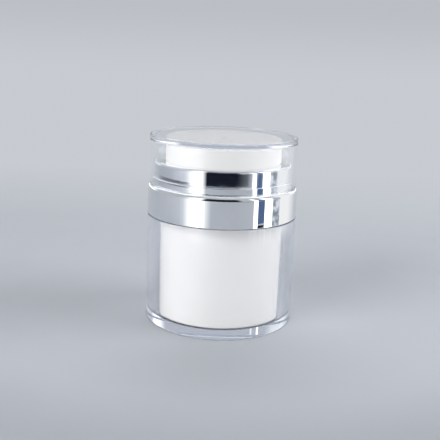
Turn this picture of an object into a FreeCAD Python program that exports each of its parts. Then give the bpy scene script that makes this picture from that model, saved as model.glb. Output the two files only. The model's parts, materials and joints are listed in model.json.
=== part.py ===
# Airless pump bottle: a clear outer jar and a white inner bottle, a chromed collar that carries a
# press plate over a spring-returned piston pump, and a clear cap.
# Lengths are in millimetres, +Z is up and the origin is the middle of the foot.

import FreeCAD, Part
import math
import os
import re
import Sketcher

# Driving sizes
SIZES = {
    # Clear outer jar
    "jar_radius": 31.0,
    "jar_height": 44.6,
    "jar_wall": 5.2,
    "jar_floor": 2.6,
    "jar_foot_round": 0.4,
    "jar_rim_round": 0.3,
    # White inner bottle
    "bottle_gap": 0.4,
    "bottle_lift": 0.4,
    "bottle_wall": 1.6,
    "bottle_floor": 1.6,
    "bottle_foot_round": 0.9,
    "vent_radius": 0.8,
    "flange_gap": 0.5,
    "flange_thickness": 1.6,
    "neck_height": 6.4,
    # Follower piston
    "follower_height": 14.0,
    "follower_wall": 1.2,
    "follower_lift": 0.2,
    "follower_web_drop": 3.0,
    "follower_web": 1.4,
    "follower_rib": 1.2,
    "follower_rib_drop": 4.5,
    "wiper_fit": 0.05,
    "wiper_flare": 0.7,
    "wiper_land": 0.6,
    "wiper_height": 2.2,
    "well_gap": 1.0,
    "well_wall": 1.2,
    "well_floor": 1.2,
    "well_lift": 0.4,
    # Collar, its insert and the gaskets
    "seam_gap": 0.2,
    "skirt_wall": 1.8,
    "ledge_thickness": 2.2,
    "shoulder_round": 1.6,
    "edge_round": 0.3,
    "collar_neck_height": 9.6,
    "collar_neck_wall": 1.6,
    "collar_neck_round": 1.1,
    "seat_ring_width": 0.8,
    "seat_ring_height": 3.1,
    "lip_width": 2.55,
    "lip_thickness": 1.4,
    "neck_gasket_thickness": 0.8,
    "neck_gasket_inset": 0.2,
    "deck_thickness": 1.6,
    "deck_fit": 0.1,
    "insert_lift": 0.6,
    "insert_rib_height": 0.3,
    "insert_rib_width": 1.2,
    "insert_fit": 0.05,
    "thread_depth": 0.9,
    "thread_gap": 0.3,
    # Pump chamber and its guide
    "chamber_radius": 6.0,
    "chamber_wall": 1.4,
    "chamber_flange_width": 3.6,
    "chamber_flange_thickness": 1.2,
    "cylinder_gasket_thickness": 0.6,
    "cylinder_gasket_inset": 0.4,
    "nozzle_wall": 1.7,
    "nozzle_taper": 2.8,
    "inlet_radius": 1.3,
    "inlet_lip": 1.2,
    "ball_radius": 2.3,
    "ball_gap": 0.6,
    "ball_seat_gap": 0.05,
    "ball_travel": 0.8,
    "ball_headroom": 0.3,
    "retainer_thickness": 0.8,
    "retainer_slot_width": 1.4,
    "retainer_slot_start": 1.7,
    "retainer_slot_end": 4.6,
    "guide_wall": 1.3,
    "guide_web": 1.4,
    "guide_skirt": 1.5,
    "guide_lift": 0.1,
    "guide_rim_width": 0.8,
    "guide_rim_height": 0.8,
    "push_fit": 0.02,
    # Stem, piston and spring
    "press_stroke": 4.5,
    "stem_radius": 3.2,
    "stem_bore": 1.7,
    "stem_fit": 0.1,
    "shoulder_width": 1.0,
    "shoulder_height": 1.0,
    "shoulder_clearance": 1.5,
    "piston_height": 4.4,
    "piston_wall": 0.9,
    "piston_web": 1.4,
    "piston_lip_land": 0.4,
    "piston_lip_height": 1.5,
    "piston_lip_flare": 0.5,
    "foot_radius": 4.5,
    "foot_thickness": 1.2,
    "foot_spigot": 3.0,
    "foot_bore": 0.9,
    "foot_port": 0.8,
    "foot_clearance": 0.4,
    "spring_wire": 0.8,
    "spring_gap": 0.75,
    "spring_coil_gap": 0.45,
    "spring_seat_gap": 0.05,
    # Press plate, hub and slit valve
    "plate_fit": 0.3,
    "plate_flange_fit": 0.6,
    "plate_flange_thickness": 1.2,
    "plate_stop_gap": 0.1,
    "plate_wall": 1.6,
    "plate_web": 2.0,
    "plate_round": 0.8,
    "dish_inset": 2.4,
    "dish_depth": 0.6,
    "orifice_radius": 1.2,
    "countersink_radius": 1.9,
    "countersink_depth": 0.5,
    "hub_radius": 9.0,
    "hub_flange": 1.2,
    "socket_wall": 1.6,
    "socket_depth": 6.2,
    "socket_clearance": 0.9,
    "spoke_height": 3.0,
    "spoke_width": 1.2,
    "spoke_overlap": 0.6,
    "spoke_fit": 0.2,
    "valve_radius": 2.5,
    "valve_thickness": 0.7,
    "valve_nib_gap": 0.1,
    "valve_nib_height": 0.5,
    "valve_dome": 0.3,
    # Clear cap
    "cap_inset": 0.8,
    "cap_wall": 1.8,
    "cap_fit": 0.2,
    "cap_lift": 0.15,
    "cap_headroom": 0.6,
    "cap_top": 1.8,
    "cap_round": 0.6,
    "cap_inner_round": 0.8,
    "rabbet_gap": 0.2,
}

# Counts
FOLLOWER_RIBS = 8
INSERT_RIBS = 12
RETAINER_SLOTS = 4
FOOT_PORTS = 3
HUB_SPOKES = 6
SPRING_ACTIVE_TURNS = 4
SPRING_STEPS_PER_TURN = 4

# Sizes that follow from the driving ones: radii from the outside in, then heights from the foot up
DERIVED = {
    "jar_bore": "jar_radius - jar_wall",
    "bottle_radius": "jar_bore - bottle_gap",
    "bottle_bore": "bottle_radius - bottle_wall",
    "skirt_bore": "jar_radius - skirt_wall",
    "flange_radius": "skirt_bore - flange_gap",
    "wiper_radius": "bottle_bore - wiper_fit",
    "follower_radius": "wiper_radius - wiper_flare",
    "follower_bore": "follower_radius - follower_wall",
    "thread_bore": "bottle_radius + thread_depth + thread_gap",
    "insert_radius": "skirt_bore - insert_fit - insert_rib_height",
    "cap_radius": "jar_radius - cap_inset",
    "cap_bore": "cap_radius - cap_wall",
    "neck_radius": "cap_bore - cap_fit",
    "seat_ring_radius": "neck_radius + seat_ring_width",
    "rabbet_radius": "seat_ring_radius + cap_fit",
    "neck_bore": "neck_radius - collar_neck_wall",
    "lip_bore": "neck_bore - lip_width",
    "plate_radius": "lip_bore - plate_fit",
    "plate_bore": "plate_radius - plate_wall",
    "plate_flange_radius": "neck_bore - plate_flange_fit",
    "dish_radius": "plate_radius - dish_inset",
    "spoke_tip": "plate_bore - spoke_fit",
    "chamber_outer": "chamber_radius + chamber_wall",
    "chamber_flange_radius": "chamber_outer + chamber_flange_width",
    "deck_bore": "chamber_outer + deck_fit",
    "well_bore": "chamber_outer + well_gap",
    "well_radius": "well_bore + well_wall",
    "ball_bore": "ball_radius + ball_gap",
    "nozzle_radius": "ball_bore + nozzle_wall",
    "guide_bore": "chamber_outer + push_fit",
    "guide_radius": "guide_bore + guide_wall",
    "socket_bore": "stem_radius + push_fit",
    "socket_radius": "socket_bore + socket_wall",
    "spring_radius": "socket_radius + spring_gap + spring_wire / 2",
    "bottle_level": "jar_floor + bottle_lift",
    "follower_level": "bottle_level + bottle_floor + follower_lift",
    "flange_top": "jar_height + flange_thickness",
    "neck_top": "flange_top + neck_height",
    "deck_level": "neck_top + neck_gasket_thickness",
    "deck_top": "deck_level + deck_thickness",
    "insert_level": "flange_top + insert_lift",
    "skirt_level": "jar_height + seam_gap",
    "ledge_top": "deck_top + ledge_thickness",
    "collar_top": "ledge_top + collar_neck_height",
    "lip_level": "collar_top - lip_thickness",
    "chamber_flange_level": "deck_top + cylinder_gasket_thickness",
    "chamber_flange_top": "chamber_flange_level + chamber_flange_thickness",
    "guide_level": "chamber_flange_top + guide_lift",
    "chamber_top": "guide_level + guide_skirt",
    "guide_top": "chamber_top + guide_web",
    "piston_top": "chamber_top - shoulder_clearance - shoulder_height",
    "piston_level": "piston_top - piston_height",
    "foot_level": "piston_level - foot_thickness",
    "retainer_level": "foot_level - foot_clearance - press_stroke - retainer_thickness",
    "ball_level": "retainer_level - ball_headroom - ball_travel - ball_radius",
    "seat_level": "ball_level - sqrt(2) * (ball_radius + ball_seat_gap) + inlet_radius",
    "pump_level": "seat_level - inlet_lip",
    "socket_level": "guide_top + press_stroke + socket_clearance",
    "hub_level": "socket_level + socket_depth",
    "web_level": "hub_level + hub_flange",
    "plate_top": "web_level + plate_web",
    "plate_level": "lip_level - plate_stop_gap - plate_flange_thickness",
    "cap_level": "ledge_top + cap_lift",
    "cap_height": "plate_top + cap_headroom + cap_top - cap_level",
}

doc = FreeCAD.newDocument("airless_pump_bottle")
sheet = doc.addObject("Spreadsheet::Sheet", "Sizes")
for row, (alias, length) in enumerate(SIZES.items(), start=1):
    sheet.set(f"A{row}", alias)
    sheet.set(f"B{row}", str(length))
    sheet.setAlias(f"B{row}", alias)
doc.recompute()

pieces = []


def formula(text):
    """Spells out a sum of named sizes as an expression on the sheet."""

    def spell(match):
        word = match.group(0)
        if word in DERIVED:
            return f"({formula(DERIVED[word])})"
        if word in SIZES:
            return f"Sizes.{word}"
        return word

    return re.sub(r"[A-Za-z_]\w*", spell, text)


def size(text):
    """Works out a sum of named sizes in millimetres."""
    return float(sheet.evalExpression(formula(text)))


def plane(body, role):
    return next(item for item in body.Origin.OriginFeatures if item.Role == role)


def hold_point(sketch, line, end, across, up):
    """Ties one end of a line to its two sizes, or to an axis where a size is zero."""
    for kind, axis, text in (("DistanceX", -2, across), ("DistanceY", -1, up)):
        if text == "0":
            sketch.addConstraint(Sketcher.Constraint("PointOnObject", line, end, axis))
            continue
        name = f"{kind[-1].lower()}{line}"
        index = sketch.addConstraint(Sketcher.Constraint(kind, -1, 1, line, end, size(text)))
        sketch.renameConstraint(index, name)
        sketch.setExpression(f"Constraints.{name}", formula(text))


def outline_sketch(body, name, role, corners):
    """Draws a closed outline of (across, up) corners; a third word, ball, makes the next stretch an
    arc about the body's own axis."""
    sketch = body.newObject("Sketcher::SketchObject", name)
    sketch.AttachmentSupport = [(plane(body, role), "")]
    sketch.MapMode = "FlatFace"
    points = [FreeCAD.Vector(size(corner[0]), size(corner[1]), 0) for corner in corners]
    ends = []
    for index, corner in enumerate(corners):
        start = points[index]
        finish = points[(index + 1) % len(points)]
        if corner[2:] == ("ball",):
            drop = start.y - finish.y
            centre_up = (start.x**2 - finish.x**2 + start.y**2 - finish.y**2) / (2 * drop)
            centre = FreeCAD.Vector(0, centre_up, 0)
            circle = Part.Circle(centre, FreeCAD.Vector(0, 0, 1), start.distanceToPoint(centre))
            angles = [math.atan2(point.y - centre_up, point.x) for point in (start, finish)]
            line = sketch.addGeometry(Part.ArcOfCircle(circle, min(angles), max(angles)))
            sketch.addConstraint(Sketcher.Constraint("PointOnObject", line, 3, -2))
            ends.append((line, 1, 2) if angles[0] < angles[1] else (line, 2, 1))
        else:
            line = sketch.addGeometry(Part.LineSegment(start, finish))
            ends.append((line, 1, 2))
    for index, corner in enumerate(corners):
        line, first, last = ends[index]
        following, next_first, next_last = ends[(index + 1) % len(ends)]
        sketch.addConstraint(Sketcher.Constraint("Coincident", line, last, following, next_first))
        hold_point(sketch, line, first, corner[0], corner[1])
    return sketch


def turned_body(name, level, corners):
    """Turns an outline about +Z and sets the body on its level."""
    body = doc.addObject("PartDesign::Body", name)
    sketch = outline_sketch(body, f"{name}_outline", "XZ_Plane", corners)
    turn = body.newObject("PartDesign::Revolution", f"{name}_turn")
    turn.Profile = sketch
    turn.ReferenceAxis = (sketch, ["V_Axis"])
    turn.Angle = 360
    body.setExpression("Placement.Base.z", formula(level))
    doc.recompute()
    pieces.append(body)
    return body


def round_edges(body, name, radius, rings):
    """Rounds the ring edges that lie at the given (radius, height) places."""
    base = body.Tip
    places = [(size(across), size(up)) for across, up in rings]
    nearby = size("push_fit") / 2
    chosen = []
    for index, edge in enumerate(base.Shape.Edges, start=1):
        if not isinstance(edge.Curve, Part.Circle):
            continue
        ring = (edge.Curve.Radius, edge.Curve.Center.z)
        if any(math.dist(ring, place) < nearby for place in places):
            chosen.append(f"Edge{index}")
    fillet = body.newObject("PartDesign::Fillet", name)
    fillet.Base = (base, chosen)
    fillet.setExpression("Radius", formula(radius))
    doc.recompute()


def repeat_around(body, name, feature, count):
    """Repeats a rib or a cut evenly around the body's axis."""
    pattern = body.newObject("PartDesign::PolarPattern", name)
    pattern.Originals = [feature]
    pattern.Axis = (plane(body, "Z_Axis"), [""])
    pattern.Angle = 360
    pattern.Occurrences = count
    body.Tip = pattern
    doc.recompute()


def add_ribs(body, name, corners, width, count):
    """Pads an upright rib both ways from its outline and repeats it around the axis."""
    sketch = outline_sketch(body, f"{name}_outline", "XZ_Plane", corners)
    pad = body.newObject("PartDesign::Pad", name)
    pad.Profile = sketch
    pad.SideType = "Symmetric"
    pad.setExpression("Length", formula(width))
    doc.recompute()
    repeat_around(body, f"{name}_pattern", pad, count)


def cut_slots(body, name, corners, width, count):
    """Cuts an upright slot both ways from its outline and repeats it around the axis."""
    sketch = outline_sketch(body, f"{name}_outline", "XZ_Plane", corners)
    pocket = body.newObject("PartDesign::Pocket", name)
    pocket.Profile = sketch
    pocket.Type = "Length"
    pocket.SideType = "Symmetric"
    pocket.setExpression("Length", formula(width))
    doc.recompute()
    repeat_around(body, f"{name}_pattern", pocket, count)


def make_outer_jar():
    jar = turned_body(
        "outer_jar",
        "0",
        [
            ("0", "0"),
            ("jar_radius", "0"),
            ("jar_radius", "jar_height"),
            ("jar_bore", "jar_height"),
            ("jar_bore", "jar_floor"),
            ("0", "jar_floor"),
        ],
    )
    round_edges(jar, "jar_foot_fillet", "jar_foot_round", [("jar_radius", "0")])
    round_edges(jar, "jar_rim_fillet", "jar_rim_round", [("jar_radius", "jar_height")])
    round_edges(jar, "jar_floor_fillet", "bottle_foot_round", [("jar_bore", "jar_floor")])


def make_inner_bottle():
    flange_level = "jar_height - bottle_level"
    bottle = turned_body(
        "inner_bottle",
        "bottle_level",
        [
            ("vent_radius", "0"),
            ("bottle_radius", "0"),
            ("bottle_radius", flange_level),
            ("flange_radius", flange_level),
            ("flange_radius", "flange_top - bottle_level"),
            ("bottle_radius", "flange_top - bottle_level"),
            ("bottle_radius", "neck_top - bottle_level"),
            ("bottle_bore", "neck_top - bottle_level"),
            ("bottle_bore", "bottle_floor"),
            ("vent_radius", "bottle_floor"),
        ],
    )
    round_edges(bottle, "bottle_foot_fillet", "bottle_foot_round", [("bottle_radius", "0")])


def make_follower_piston():
    web_top = "follower_height - follower_web_drop"
    web_level = f"{web_top} - follower_web"
    rib_level = f"{web_level} - follower_rib_drop"
    follower = turned_body(
        "follower_piston",
        "follower_level",
        [
            ("follower_bore", "0"),
            ("wiper_radius", "0"),
            ("wiper_radius", "wiper_land"),
            ("follower_radius", "wiper_height"),
            ("follower_radius", "follower_height - wiper_height"),
            ("wiper_radius", "follower_height - wiper_land"),
            ("wiper_radius", "follower_height"),
            ("follower_bore", "follower_height"),
            ("follower_bore", web_top),
            ("well_bore", web_top),
            ("well_bore", "well_lift + well_floor"),
            ("0", "well_lift + well_floor"),
            ("0", "well_lift"),
            ("well_radius", "well_lift"),
            ("well_radius", web_level),
            ("follower_bore", web_level),
        ],
    )
    add_ribs(
        follower,
        "follower_rib_pad",
        [
            ("well_radius - well_wall / 2", rib_level),
            ("follower_bore + follower_wall / 2", rib_level),
            ("follower_bore + follower_wall / 2", f"{web_level} + follower_web / 2"),
            ("well_radius - well_wall / 2", f"{web_level} + follower_web / 2"),
        ],
        "follower_rib",
        FOLLOWER_RIBS,
    )


def make_collar():
    ledge = "ledge_top - skirt_level"
    top = "collar_top - skirt_level"
    collar = turned_body(
        "collar",
        "skirt_level",
        [
            ("skirt_bore", "0"),
            ("jar_radius", "0"),
            ("jar_radius", ledge),
            ("seat_ring_radius", ledge),
            ("seat_ring_radius", f"{ledge} + seat_ring_height"),
            ("neck_radius", f"{ledge} + seat_ring_height"),
            ("neck_radius", top),
            ("lip_bore", top),
            ("lip_bore", "lip_level - skirt_level"),
            ("neck_bore", "lip_level - skirt_level"),
            ("neck_bore", "deck_top - skirt_level"),
            ("skirt_bore", "deck_top - skirt_level"),
        ],
    )
    round_edges(collar, "shoulder_fillet", "shoulder_round", [("jar_radius", ledge)])
    round_edges(collar, "collar_neck_fillet", "collar_neck_round", [("neck_radius", top)])
    round_edges(
        collar,
        "collar_edge_fillet",
        "edge_round",
        [
            ("jar_radius", "0"),
            ("seat_ring_radius", f"{ledge} + seat_ring_height"),
            ("lip_bore", top),
        ],
    )


def make_threaded_insert():
    top = "deck_top - insert_level"
    deck = "deck_level - insert_level"
    insert = turned_body(
        "threaded_insert",
        "insert_level",
        [
            ("thread_bore", "0"),
            ("insert_radius", "0"),
            ("insert_radius", top),
            ("deck_bore", top),
            ("deck_bore", deck),
            ("thread_bore", deck),
        ],
    )
    rib_root = "(insert_radius + thread_bore) / 2"
    rib_tip = "insert_radius + insert_rib_height"
    add_ribs(
        insert,
        "insert_rib_pad",
        [(rib_root, "edge_round"), (rib_tip, "edge_round"), (rib_tip, top), (rib_root, top)],
        "insert_rib_width",
        INSERT_RIBS,
    )


def make_gaskets():
    neck_inner = "bottle_bore + neck_gasket_inset"
    turned_body(
        "neck_gasket",
        "neck_top",
        [
            (neck_inner, "0"),
            ("bottle_radius", "0"),
            ("bottle_radius", "neck_gasket_thickness"),
            (neck_inner, "neck_gasket_thickness"),
        ],
    )
    cylinder_outer = "chamber_flange_radius - cylinder_gasket_inset"
    turned_body(
        "cylinder_gasket",
        "deck_top",
        [
            ("deck_bore", "0"),
            (cylinder_outer, "0"),
            (cylinder_outer, "cylinder_gasket_thickness"),
            ("deck_bore", "cylinder_gasket_thickness"),
        ],
    )


def make_pump_cylinder():
    shelf = "retainer_level - pump_level"
    seat_rise = "ball_bore - inlet_radius"
    turned_body(
        "pump_cylinder",
        "pump_level",
        [
            ("inlet_radius", "0"),
            ("nozzle_radius", "0"),
            ("nozzle_radius", f"{shelf} - nozzle_taper"),
            ("chamber_outer", shelf),
            ("chamber_outer", "chamber_flange_level - pump_level"),
            ("chamber_flange_radius", "chamber_flange_level - pump_level"),
            ("chamber_flange_radius", "chamber_flange_top - pump_level"),
            ("chamber_outer", "chamber_flange_top - pump_level"),
            ("chamber_outer", "chamber_top - pump_level"),
            ("chamber_radius", "chamber_top - pump_level"),
            ("chamber_radius", shelf),
            ("ball_bore", shelf),
            ("ball_bore", f"inlet_lip + {seat_rise}"),
            ("inlet_radius", "inlet_lip"),
        ],
    )


def make_inlet_valve():
    ball = doc.addObject("Part::Sphere", "inlet_ball")
    ball.setExpression("Radius", formula("ball_radius"))
    ball.setExpression("Placement.Base.z", formula("ball_level"))
    doc.recompute()
    pieces.append(ball)
    disc = "chamber_radius - push_fit"
    retainer = turned_body(
        "ball_retainer",
        "retainer_level",
        [
            ("0", "0"),
            (disc, "0"),
            (disc, "retainer_thickness"),
            ("0", "retainer_thickness"),
        ],
    )
    cut_slots(
        retainer,
        "retainer_slot",
        [
            ("retainer_slot_start", "0"),
            ("retainer_slot_end", "0"),
            ("retainer_slot_end", "retainer_thickness"),
            ("retainer_slot_start", "retainer_thickness"),
        ],
        "retainer_slot_width",
        RETAINER_SLOTS,
    )


def make_stem_guide():
    web = "chamber_top - guide_level"
    top = "guide_top - guide_level"
    turned_body(
        "stem_guide",
        "guide_level",
        [
            ("guide_bore", "0"),
            ("guide_radius", "0"),
            ("guide_radius", f"{top} + guide_rim_height"),
            ("guide_radius - guide_rim_width", f"{top} + guide_rim_height"),
            ("guide_radius - guide_rim_width", top),
            ("stem_radius + stem_fit", top),
            ("stem_radius + stem_fit", web),
            ("guide_bore", web),
        ],
    )


def make_stem():
    turned_body(
        "stem",
        "piston_level",
        [
            ("stem_bore", "0"),
            ("stem_radius", "0"),
            ("stem_radius", "piston_height"),
            ("stem_radius + shoulder_width", "piston_height"),
            ("stem_radius + shoulder_width", "piston_height + shoulder_height"),
            ("stem_radius", "piston_height + shoulder_height"),
            ("stem_radius", "hub_level - piston_level"),
            ("stem_bore", "hub_level - piston_level"),
        ],
    )


def make_pump_piston():
    lip = "chamber_radius - wiper_fit"
    barrel = f"{lip} - piston_lip_flare"
    barrel_bore = f"{barrel} - piston_wall"
    hub_bore = "stem_radius + push_fit"
    hub_radius = f"{hub_bore} + piston_wall"
    web_level = "(piston_height - piston_web) / 2"
    web_top = "(piston_height + piston_web) / 2"
    turned_body(
        "pump_piston",
        "piston_level",
        [
            (hub_bore, "0"),
            (hub_radius, "0"),
            (hub_radius, web_level),
            (barrel_bore, web_level),
            (barrel_bore, "0"),
            (lip, "0"),
            (lip, "piston_lip_land"),
            (barrel, "piston_lip_height"),
            (barrel, "piston_height - piston_lip_height"),
            (lip, "piston_height - piston_lip_land"),
            (lip, "piston_height"),
            (barrel_bore, "piston_height"),
            (barrel_bore, web_top),
            (hub_radius, web_top),
            (hub_radius, "piston_height"),
            (hub_bore, "piston_height"),
        ],
    )


def make_stem_foot():
    spigot = "stem_bore - push_fit"
    foot = turned_body(
        "stem_foot",
        "foot_level",
        [
            ("foot_bore", "0"),
            ("foot_radius", "0"),
            ("foot_radius", "foot_thickness"),
            (spigot, "foot_thickness"),
            (spigot, "foot_thickness + foot_spigot"),
            ("foot_bore", "foot_thickness + foot_spigot"),
        ],
    )
    cut_slots(
        foot,
        "foot_port_cut",
        [("0", "0"), ("foot_radius", "0"), ("foot_radius", "foot_thickness / 2"), ("0", "foot_thickness / 2")],
        "foot_port",
        FOOT_PORTS,
    )


def make_press_plate():
    web = "web_level - plate_level"
    top = "plate_top - plate_level"
    plate = turned_body(
        "press_plate",
        "plate_level",
        [
            ("plate_bore", "0"),
            ("plate_flange_radius", "0"),
            ("plate_flange_radius", "plate_flange_thickness"),
            ("plate_radius", "plate_flange_thickness"),
            ("plate_radius", top),
            ("dish_radius", top, "ball"),
            ("countersink_radius", f"{top} - dish_depth"),
            ("orifice_radius", f"{top} - dish_depth - countersink_depth"),
            ("orifice_radius", web),
            ("plate_bore", web),
        ],
    )
    round_edges(plate, "plate_fillet", "plate_round", [("plate_radius", top)])


def make_plate_hub():
    depth = "web_level - socket_level"
    pocket_floor = f"{depth} - valve_thickness"
    hub = turned_body(
        "plate_hub",
        "socket_level",
        [
            ("socket_bore", "0"),
            ("socket_radius", "0"),
            ("socket_radius", "socket_depth"),
            ("hub_radius", "socket_depth"),
            ("hub_radius", depth),
            ("valve_radius + valve_nib_gap", depth),
            ("valve_radius + valve_nib_gap", pocket_floor),
            ("stem_bore", pocket_floor),
            ("stem_bore", "socket_depth"),
            ("socket_bore", "socket_depth"),
        ],
    )
    spoke_root = "hub_radius - spoke_overlap"
    add_ribs(
        hub,
        "spoke_pad",
        [
            (spoke_root, f"{depth} - spoke_height"),
            ("spoke_tip", f"{depth} - spoke_height"),
            ("spoke_tip", depth),
            (spoke_root, depth),
        ],
        "spoke_width",
        HUB_SPOKES,
    )


def make_orifice_valve():
    nib = "orifice_radius - valve_nib_gap"
    turned_body(
        "orifice_valve",
        "web_level - valve_thickness",
        [
            ("0", "0"),
            ("valve_radius", "0"),
            ("valve_radius", "valve_thickness"),
            (nib, "valve_thickness"),
            (nib, "valve_thickness + valve_nib_height", "ball"),
            ("0", "valve_thickness + valve_nib_height + valve_dome"),
        ],
    )


def make_cap():
    ceiling = "cap_height - cap_top"
    rabbet = "ledge_top + seat_ring_height + rabbet_gap - cap_level"
    cap = turned_body(
        "cap",
        "cap_level",
        [
            ("rabbet_radius", "0"),
            ("cap_radius", "0"),
            ("cap_radius", "cap_height"),
            ("0", "cap_height"),
            ("0", ceiling),
            ("cap_bore", ceiling),
            ("cap_bore", rabbet),
            ("rabbet_radius", rabbet),
        ],
    )
    round_edges(cap, "cap_top_fillet", "cap_round", [("cap_radius", "cap_height")])
    round_edges(cap, "cap_ceiling_fillet", "cap_inner_round", [("cap_bore", ceiling)])
    round_edges(cap, "cap_rim_fillet", "edge_round", [("cap_radius", "0")])


def arc_between(start, heading, finish):
    """The arc that leaves start along heading and ends at finish."""
    chord = finish - start
    side = chord - heading * chord.dot(heading)
    side.normalize()
    radius = chord.dot(chord) / (2 * chord.dot(side))
    centre = start + side * radius
    middle = start + chord * 0.5 - centre
    middle.normalize()
    return Part.Arc(start, centre + middle * radius, finish).toShape()


def biarc(start, heading, finish, arrival):
    """Two arcs that join smoothly and meet the given headings at both ends."""
    span = finish - start
    both = heading + arrival
    spread = 2 * (1 - heading.dot(arrival))
    reach = (math.sqrt(span.dot(both) ** 2 + spread * span.dot(span)) - span.dot(both)) / spread
    join = (start + finish + (heading - arrival) * reach) * 0.5
    along = join - (start + heading * reach)
    along.normalize()
    return [arc_between(start, heading, join), arc_between(join, along, finish)]


def make_return_spring():
    """Winds the wire as biarcs on a coil whose first and last turns lie close."""
    wire_radius = size("spring_wire") / 2
    coil_radius = size("spring_radius")
    length = size("hub_level - guide_top") - 2 * size("spring_seat_gap")
    close_rise = size("spring_wire + spring_coil_gap")
    open_rise = (length - 2 * wire_radius - 2 * close_rise) / SPRING_ACTIVE_TURNS
    steps = SPRING_STEPS_PER_TURN
    turns = [close_rise] + [open_rise] * SPRING_ACTIVE_TURNS + [close_rise]
    rises = [turn / steps for turn in turns for step in range(steps)]
    heights = [wire_radius + size("spring_seat_gap")]
    for rise in rises:
        heights.append(heights[-1] + rise)
    slopes = [rises[0]] + [(a + b) / 2 for a, b in zip(rises, rises[1:])] + [rises[-1]]
    step_angle = 2 * math.pi / steps
    knots = []
    headings = []
    for index, (height, slope) in enumerate(zip(heights, slopes)):
        angle = index * step_angle
        out = FreeCAD.Vector(math.cos(angle), math.sin(angle), 0)
        heading = FreeCAD.Vector(-out.y, out.x, slope / (coil_radius * step_angle))
        heading.normalize()
        knots.append(FreeCAD.Vector(out.x * coil_radius, out.y * coil_radius, height))
        headings.append(heading)
    edges = []
    for index in range(len(knots) - 1):
        edges += biarc(knots[index], headings[index], knots[index + 1], headings[index + 1])
    path = Part.Wire(edges)
    section = Part.Wire(Part.Circle(knots[0], headings[0], wire_radius).toShape())
    spring = doc.addObject("Part::Feature", "return_spring")
    spring.Shape = path.makePipeShell([section], True, False)
    spring.Placement.Base = FreeCAD.Vector(0, 0, size("guide_top"))
    pieces.append(spring)
    marks = path.discretize(40 * len(edges))
    apart = len(marks) // len(turns) // 2
    gap = min(
        marks[a].distanceToPoint(marks[b])
        for a in range(len(marks))
        for b in range(a + apart, len(marks))
    )
    print(f"return_spring least gap {gap - 2 * wire_radius:.2f} mm")


make_outer_jar()
make_inner_bottle()
make_follower_piston()
make_gaskets()
make_collar()
make_threaded_insert()
make_pump_cylinder()
make_inlet_valve()
make_stem_guide()
make_return_spring()
make_stem()
make_pump_piston()
make_stem_foot()
make_plate_hub()
make_orifice_valve()
make_press_plate()
make_cap()
doc.recompute()

for item in doc.Objects:
    if {"Invalid", "Error"} & set(item.State):
        raise RuntimeError(f"{item.Label} did not build: {item.State}")

os.makedirs("parts", exist_ok=True)
for piece in pieces:
    if piece.Shape.isNull() or not piece.Shape.isValid() or len(piece.Shape.Solids) != 1:
        raise RuntimeError(f"{piece.Label} is not one valid solid")
    piece.Shape.exportStep(f"parts/{piece.Label}.step")
    box = piece.Shape.BoundBox
    print(f"{piece.Label}: z {box.ZMin:.2f} to {box.ZMax:.2f}, volume {piece.Shape.Volume:.1f}")
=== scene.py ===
# Looks of the airless pump bottle: polished acrylic, white plastic, chrome and a small studio
import json
import math
from collections import namedtuple

import bpy
from mathutils import Matrix, Vector


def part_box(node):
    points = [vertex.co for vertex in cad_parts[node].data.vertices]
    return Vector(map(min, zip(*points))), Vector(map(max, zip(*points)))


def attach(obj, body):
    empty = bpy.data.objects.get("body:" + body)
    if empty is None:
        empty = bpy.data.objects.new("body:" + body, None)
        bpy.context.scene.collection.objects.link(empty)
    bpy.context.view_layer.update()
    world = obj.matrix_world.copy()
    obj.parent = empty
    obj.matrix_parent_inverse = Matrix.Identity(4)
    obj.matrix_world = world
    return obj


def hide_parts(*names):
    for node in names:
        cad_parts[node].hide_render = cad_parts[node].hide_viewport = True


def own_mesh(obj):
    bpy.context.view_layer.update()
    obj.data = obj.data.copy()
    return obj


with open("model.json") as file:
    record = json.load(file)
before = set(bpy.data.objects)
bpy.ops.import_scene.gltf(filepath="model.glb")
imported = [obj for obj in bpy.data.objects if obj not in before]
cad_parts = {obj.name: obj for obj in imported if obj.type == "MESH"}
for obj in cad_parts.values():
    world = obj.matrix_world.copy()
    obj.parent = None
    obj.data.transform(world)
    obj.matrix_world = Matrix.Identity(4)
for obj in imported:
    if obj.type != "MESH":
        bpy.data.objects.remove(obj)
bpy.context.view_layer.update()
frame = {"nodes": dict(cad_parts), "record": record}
nodes = frame["nodes"]
behaviour = frame["record"]["behaviour"]
joints = {joint["name"]: joint for joint in behaviour["joints"]}
scene = bpy.context.scene

MM = 0.001
FULL_TURN = 2 * math.pi
QUARTER_TURN = math.pi / 2
UP = Vector((0, 0, 1))

# Outer sizes in millimetres, which the frame gives: the largest radius, lowest level and top of a node
NodeSizes = namedtuple("NodeSizes", "radius low top")


def in_mm(length):
    """A length of the frame in millimetres, to a hundredth."""
    return round(length / MM, 2)


def node_sizes(node_name):
    low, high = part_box(node_name)
    return NodeSizes(radius=in_mm(high.x), low=in_mm(low.z), top=in_mm(high.z))


JAR = node_sizes("outer_jar")
BOTTLE = node_sizes("inner_bottle")
COLLAR = node_sizes("collar")
INSERT = node_sizes("threaded_insert")
PLATE = node_sizes("press_plate")
VALVE = node_sizes("orifice_valve")
CAP = node_sizes("cap")
SPRING = node_sizes("return_spring")

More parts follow.
